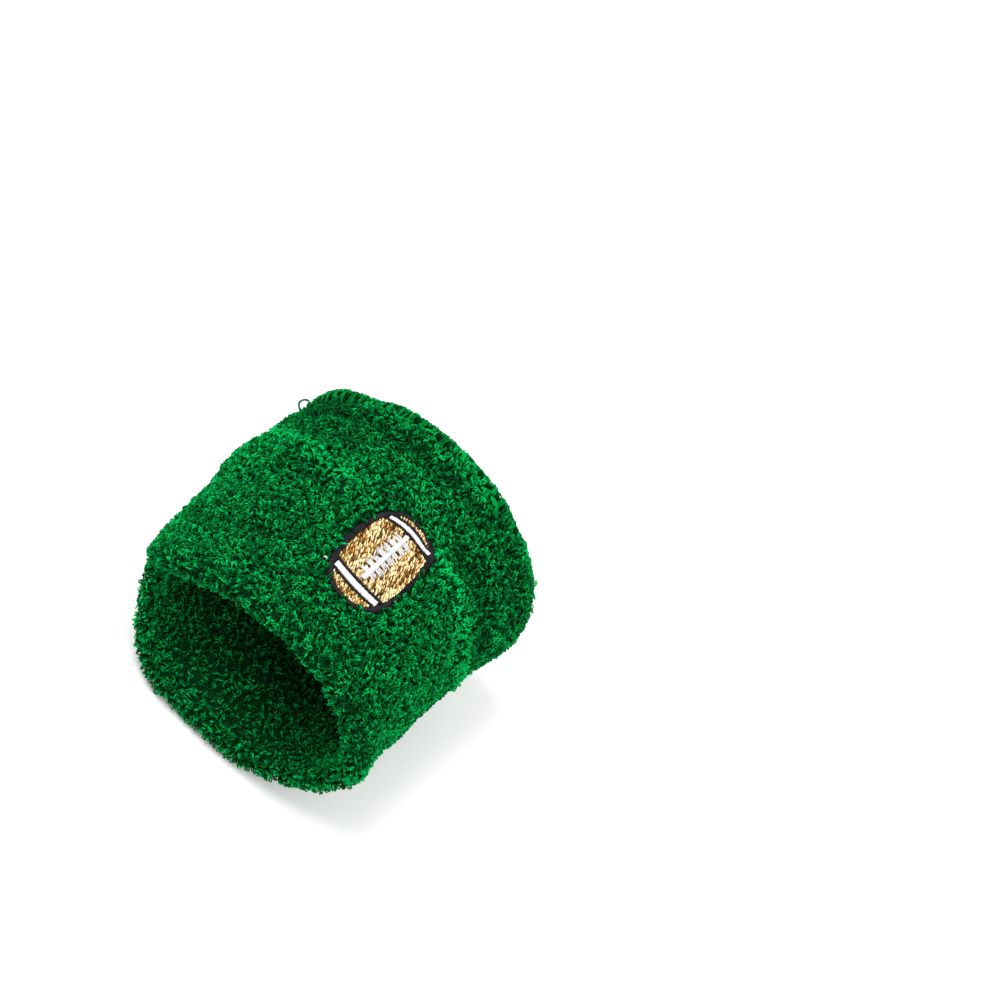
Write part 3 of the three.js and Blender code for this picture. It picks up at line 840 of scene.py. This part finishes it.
def region_rows(inside):
    """Start and end of each row's stretch inside a region."""
    along = np.array([np.cos(np.radians(FILL_SLANT)), np.sin(np.radians(FILL_SLANT))])
    across = np.array([-along[1], along[0]])
    q = np.arange(-BALL_LENGTH, BALL_LENGTH, 0.1)
    rows = []
    for offset in np.arange(-BALL_LENGTH, BALL_LENGTH, FILL_PITCH):
        points = offset * across + q[:, None] * along
        within = inside(points[:, 0], points[:, 1]).astype(int)
        edges = np.flatnonzero(np.diff(within))
        rows += [(q[a], q[b], offset) for a, b in zip(edges[::2], edges[1::2]) if b - a > 4]
    return rows, along, across


def fill_region(inside, length):
    """Tatami fill: rows of short stitches with staggered ends, over an underlay darkened as painted shade."""
    rows, along, across = region_rows(inside)
    starts, ends, tones = [], [], []
    for begin, end, offset in rows:
        at = begin - rng.uniform(0, 0.8) * length
        while at < end - 0.4:
            step = length * rng.uniform(0.75, 1.25)
            first = max(at, begin)
            last = min(at + step, end)
            if last - first > 0.35:
                wander = rng.uniform(-0.14, 0.14, 2)
                starts.append(first * along + (offset + wander[0]) * across)
                ends.append(last * along + (offset + wander[1]) * across)
                tones.append(rng.uniform(*FILL_TONES))
            at += step
    under_starts = [begin * along + offset * across for begin, _, offset in rows]
    under_ends = [end * along + offset * across for _, end, offset in rows]
    return [
        stitches(starts, ends, FILL_THREAD, FILL_DEPTH, tones),
        underlay(under_starts, under_ends, FILL_PITCH * 1.5, FILL_DEPTH + 0.4),
    ]


def make_fill():
    hand = stripe_line("hand_end", -(STRIPES["hand_end"][2] / 2 + STRIPE_BORDER))
    forearm = stripe_line("forearm_end", -(STRIPES["forearm_end"][2] / 2 + STRIPE_BORDER))

    def inside(u, v):
        return (np.abs(u) < ball_half_width(v)) & (v < line_v(u, hand)) & (v > line_v(u, forearm))

    groups = fill_region(inside, FILL_STITCH)
    strand_piece("ball_fill_stitches", groups, GOLD, ["ball_fill"])


def make_cap(name):
    side, _, width, _ = STRIPES[name]
    line = stripe_line(name, width / 2 + STRIPE_BORDER)

    def inside(u, v):
        return (np.abs(u) < ball_half_width(v)) & (side * v > side * line_v(u, line))

    groups = fill_region(inside, CAP_STITCH)
    node = f"ball_cap_{name}"
    strand_piece(f"{node}_stitches", groups, GOLD, [node])


def band_between(near, far, material, node, low, high):
    """Satin stitches that cross the strip between two lines over the ball."""
    reach = min(ball_half_width(near[0]), ball_half_width(far[0]))
    u = np.arange(-reach, reach, SATIN_PITCH)
    starts = np.stack([u, line_v(u, near) + rng.uniform(-0.08, 0.08, u.shape)], -1)
    ends = np.stack([u + 0.1, line_v(u, far) + rng.uniform(-0.08, 0.08, u.shape)], -1)
    groups = [satin(starts, ends, SATIN_PITCH * 1.35, FILL_DEPTH - 0.15, low, high)]
    strand_piece(f"{node}_stitches", groups, material, [node])


def make_stripes():
    for name, (_, _, width, _) in STRIPES.items():
        half = width / 2
        edge = half + STRIPE_BORDER
        lines = {out: stripe_line(name, out) for out in (-edge, -half, half, edge)}
        band_between(lines[-half], lines[half], WHITE, f"stripe_{name}", 0.5, 1.0)
        for node, near, far in (("inner", -edge, -half), ("outer", half, edge)):
            full = f"stripe_line_{node}_{name}"
            band_between(lines[near], lines[far], BLACK, full, 0.1, 0.9)


def make_outline():
    turn = 2 * np.pi * np.arange(OUTLINE_STITCHES) / OUTLINE_STITCHES
    wide = BALL_WIDTH / 2 + CLEARANCE + OUTLINE_SIDE
    long = BALL_LENGTH / 2 + CLEARANCE + OUTLINE_TIP
    inner = oval(turn, BALL_WIDTH / 2 - 0.1, BALL_LENGTH / 2 - 0.1)
    outer = oval(turn + 0.02, wide, long)
    outer = outer + rng.uniform(-0.12, 0.12, outer.shape)
    groups = [satin(inner, outer, 0.55, FILL_DEPTH - 0.1, 0.1, 0.9)]
    strand_piece("ball_outline_stitches", groups, BLACK, ["ball_outline"])


def make_lacing():
    v = np.arange(LACE_START, LACE_END, SATIN_PITCH)
    half = np.full(v.shape, LACE_WIDTH / 2)
    wander = rng.uniform(-0.12, 0.12, (2, len(v)))
    starts = np.stack([-half + wander[0], v - 0.08], -1)
    ends = np.stack([half + wander[1], v + 0.08], -1)
    spine = [satin(starts, ends, 0.42, FILL_DEPTH - 0.95, 0.4, 1.0)]
    strand_piece("lace_spine_stitches", spine, WHITE, ["lace_spine"])
    for i in range(LACE_BARS):
        middle = LACE_BAR_FIRST + i * LACE_BAR_PITCH
        v = middle + LACE_BAR_WIDTH * (np.arange(LACE_BAR_THREADS) / (LACE_BAR_THREADS - 1) - 0.5)
        reach = LACE_BAR_LENGTH / 2 + rng.uniform(-1.3, 0.3, (2, LACE_BAR_THREADS))
        starts = np.stack([-reach[0], v + rng.uniform(-0.1, 0.1, v.shape)], -1)
        ends = np.stack([reach[1], v + rng.uniform(-0.1, 0.1, v.shape)], -1)
        bar = [satin(starts, ends, 0.36, FILL_DEPTH - 0.45, 0.3, 1.0)]
        strand_piece(f"lace_bar_{i + 1}_stitches", bar, WHITE, [f"lace_bar_{i + 1}"])


def make_thread_tail():
    """Loose end of the white thread, beside the ball."""
    stations = 12
    t = np.linspace(0, 1, stations)[None]
    uv = np.stack([-10.0 - 0.8 * t + 0.15 * np.sin(7 * t), -11.7 - 0.4 * np.sin(3 * t)], -1)
    depth = 0.9 - 1.1 * np.sin(np.pi * t)
    centres = stitch_point(uv, depth)
    sides = stitch_point(uv + np.array([0, 0.2]), depth) - centres
    tail = strands(centres, sides, 0.17, 0.14, np.full((1, stations), 0.9), corners=6)
    strand_piece("white_thread_tail", [tail], WHITE)


def finish_hidden_nodes():
    """The CAD nodes between the two layers keep their shape, and get the material of the real thing."""
    elastic = speckled_material("covered_elastic", (0.55, 0.53, 0.47), (0.82, 0.80, 0.74), 1800, 0.6)
    bobbin = speckled_material("bobbin_thread", (0.6, 0.6, 0.6), (0.9, 0.9, 0.9), 2200, 0.5)
    backing = speckled_material("non_woven_backing", (0.5, 0.5, 0.49), (0.78, 0.78, 0.76), 700, 0.9)
    choice = {"bobbin_thread_layer": bobbin, "embroidery_backing": backing}
    for name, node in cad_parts.items():
        if name in choice or name.startswith("elastic_yarn"):
            node.data.materials.clear()
            node.data.materials.append(choice.get(name, elastic))


# ---------------------------------------------------------------- studio


def make_floor():
    mesh = bpy.data.meshes.new("studio_floor")
    far = FLOOR_REACH
    corners = [(-far, -far, 0), (far, -far, 0), (far, far, 0), (-far, far, 0)]
    mesh.from_pydata(corners, [], [(0, 1, 2, 3)])
    floor = bpy.data.objects.new("studio_floor", mesh)
    bpy.context.scene.collection.objects.link(floor)
    pale, _, shader = node_material("pale_floor", 0.9)
    shader.inputs["Base Color"].default_value = (0.92, 0.92, 0.92, 1)
    mesh.materials.append(pale)


def look_matrix(eye, target, roll):
    """World matrix that looks from eye to target, with the picture turned by roll degrees."""
    back = (eye - target).normalized()
    right = Vector((0, 0, 1)).cross(back).normalized()
    up = back.cross(right)
    turn = np.radians(roll)
    x = np.cos(turn) * right + np.sin(turn) * up
    y = np.cos(turn) * up - np.sin(turn) * right
    matrix = Matrix((x, y, back)).transposed().to_4x4()
    matrix.translation = eye
    return matrix


def make_camera():
    """Looks down on the back of the wrist from the forearm side."""
    ball_middle = stitch_point(np.zeros(2), 0)
    target = Vector(ball_middle + np.array(CAMERA_AIM)) * MM
    tilt = np.radians(CAMERA_TILT)
    eye = target - CAMERA_AWAY * Vector((0, np.cos(tilt), -np.sin(tilt)))
    lens = bpy.data.cameras.new("camera")
    lens.lens = CAMERA_LENS
    lens.clip_start = 0.01
    camera = bpy.data.objects.new("camera", lens)
    bpy.context.scene.collection.objects.link(camera)
    camera.matrix_world = look_matrix(eye, target, CAMERA_ROLL)
    bpy.context.scene.camera = camera


def make_lights():
    target = Vector((0, 0, 0.03))
    places = {
        "key_light": ((-0.75, -0.1, 1.0), 1.0, 19),
        "fill_light": ((0.9, -0.3, 0.8), 0.8, 9),
        "back_light": ((0.2, 1.0, 0.8), 0.8, 6),
    }
    for name, (eye, size, power) in places.items():
        light = bpy.data.lights.new(name, "AREA")
        light.size = size
        light.energy = power
        lamp = bpy.data.objects.new(name, light)
        bpy.context.scene.collection.objects.link(lamp)
        lamp.matrix_world = look_matrix(Vector(eye), target, 0)
    world = bpy.data.worlds.new("studio")
    world.use_nodes = True
    background = world.node_tree.nodes["Background"]
    background.inputs["Color"].default_value = (1, 1, 1, 1)
    background.inputs["Strength"].default_value = WORLD_LIGHT
    bpy.context.scene.world = world
    bpy.context.scene.view_settings.view_transform = "Standard"


make_camera()
make_lights()
make_floor()
pile = make_pile()
pile += make_hem()
pile.append(make_seam())
pile.append(make_snag())
make_cloth()
make_fill()
make_cap("hand_end")
make_cap("forearm_end")
make_stripes()
make_outline()
make_lacing()
make_thread_tail()
finish_hidden_nodes()
